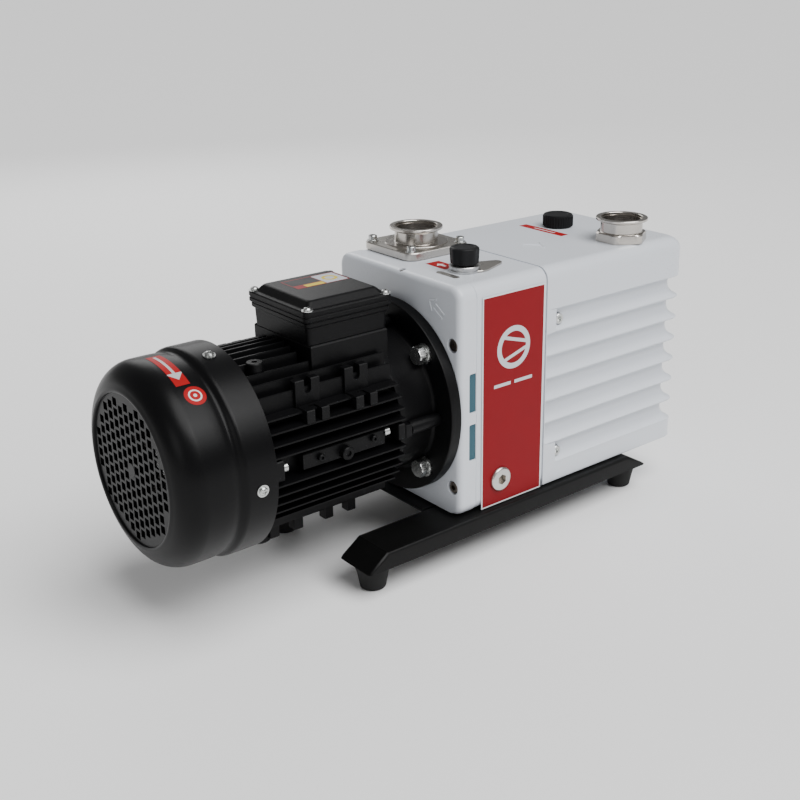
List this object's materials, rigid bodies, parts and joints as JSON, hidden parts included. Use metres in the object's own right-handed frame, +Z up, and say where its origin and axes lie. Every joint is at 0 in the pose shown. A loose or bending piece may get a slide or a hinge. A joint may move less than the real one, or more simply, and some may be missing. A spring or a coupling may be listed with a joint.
{
  "type": "rotary vane vacuum pump",
  "caption": "Two-stage oil-sealed rotary vane vacuum pump with a flange-mounted electric motor, finned oil box and flanged ports, on a railed base.",
  "frame": {"origin": "centre of the overall bounding box at floor level", "axes": "+X from the motor to the oil box along the shaft, +Z up, -Y towards the side with the label and drain plug"},
  "size_m": [0.616, 0.206, 0.305],
  "materials": {
    "white_casting": "satin white powder coat on cast alloy",
    "black_metal": "satin black paint on cast alloy",
    "black_steel": "satin black powder coat",
    "steel": "machined",
    "iron": "machined grey iron and laminated steel",
    "alloy": "machined",
    "rubber": "matt",
    "polymer": "moulded",
    "red_label": "printed film",
    "glass": "clear"
  },
  "bodies": {
    "frame": {"rail_near": "black_steel", "rail_far": "black_steel", "cross_plate": "black_steel", "foot_1": "rubber", "foot_2": "rubber", "foot_3": "rubber", "foot_4": "rubber", "coupling_housing": "white_casting", "pump_body": "white_casting", "oil_box": "white_casting", "label_panel": "red_label", "inlet_flange": "steel", "outlet_flange": "steel", "ballast_seat": "steel", "sight_glass": "glass", "sight_glass_bezel": "steel", "shaft_seal": "rubber", "front_end_plate": "iron", "hv_stator": "iron", "intermediate_plate": "iron", "lv_stator": "iron", "rear_end_plate": "iron", "exhaust_valve": "steel", "motor_end_shield": "black_metal", "motor_frame": "black_metal", "stator_core": "iron", "rear_end_shield": "black_metal", "fan_cover": "black_steel", "terminal_box": "black_metal", "terminal_lid": "black_metal", "terminal_block": "polymer", "front_bearing": "steel", "rear_bearing": "steel", "cable_gland": "polymer", "flange_bolt_1": "steel", "flange_bolt_2": "steel", "flange_bolt_3": "steel", "flange_bolt_4": "steel", "inlet_screw_1": "steel", "inlet_screw_2": "steel", "inlet_screw_3": "steel", "inlet_screw_4": "steel"},
    "drive_line": {"motor_shaft": "steel", "motor_rotor": "iron", "cooling_fan": "polymer", "motor_coupling_hub": "alloy", "coupling_spider": "polymer", "pump_coupling_hub": "alloy", "pump_shaft": "steel", "hv_rotor": "iron", "lv_rotor": "iron"},
    "hv_vane_a_body": {"hv_vane_a": "polymer"},
    "hv_vane_b_body": {"hv_vane_b": "polymer"},
    "lv_vane_a_body": {"lv_vane_a": "polymer"},
    "lv_vane_b_body": {"lv_vane_b": "polymer"},
    "ballast_knob_body": {"ballast_knob": "polymer"},
    "ballast_plunger_body": {"ballast_plunger": "steel"},
    "filler_cap_body": {"filler_cap": "polymer"},
    "drain_plug_body": {"drain_plug": "steel"},
    "inlet_valve_plate_body": {"inlet_valve_plate": "steel"}
  },
  "joints": [
    {"name": "drive_turn", "type": "hinge", "parent": "frame", "child": "drive_line", "pos_m": [-0.016, 0, 0.153], "axis": [1, 0, 0], "continuous": true},
    {"name": "hv_vane_a_slide", "type": "slide", "parent": "drive_line", "child": "hv_vane_a_body", "axis": [0, -1, 0], "range_m": [0, 0.007]},
    {"name": "hv_vane_b_slide", "type": "slide", "parent": "drive_line", "child": "hv_vane_b_body", "axis": [0, 1, 0], "range_m": [0, 0.007]},
    {"name": "lv_vane_a_slide", "type": "slide", "parent": "drive_line", "child": "lv_vane_a_body", "axis": [0, -1, 0], "range_m": [0, 0.007]},
    {"name": "lv_vane_b_slide", "type": "slide", "parent": "drive_line", "child": "lv_vane_b_body", "axis": [0, 1, 0], "range_m": [0, 0.007]},
    {"name": "ballast_turn", "type": "hinge", "parent": "frame", "child": "ballast_knob_body", "pos_m": [0.0326, -0.046, 0.29], "axis": [0, 0, 1], "range_deg": [0, 180]},
    {"name": "ballast_lift", "type": "slide", "parent": "frame", "child": "ballast_plunger_body", "axis": [0, 0, 1], "range_m": [0, 0.0016]},
    {"name": "filler_cap_lift", "type": "slide", "parent": "frame", "child": "filler_cap_body", "axis": [0, 0, 1], "range_m": [0, 0.03]},
    {"name": "drain_plug_out", "type": "slide", "parent": "frame", "child": "drain_plug_body", "axis": [0, -1, 0], "range_m": [0, 0.03]},
    {"name": "inlet_valve_lift", "type": "slide", "parent": "frame", "child": "inlet_valve_plate_body", "axis": [0, 0, 1], "range_m": [0, 0.006]}
  ],
  "couplings": [
    {"joint": "ballast_lift", "follows": "ballast_turn", "m_per_rad": 0.0004775}
  ]
}
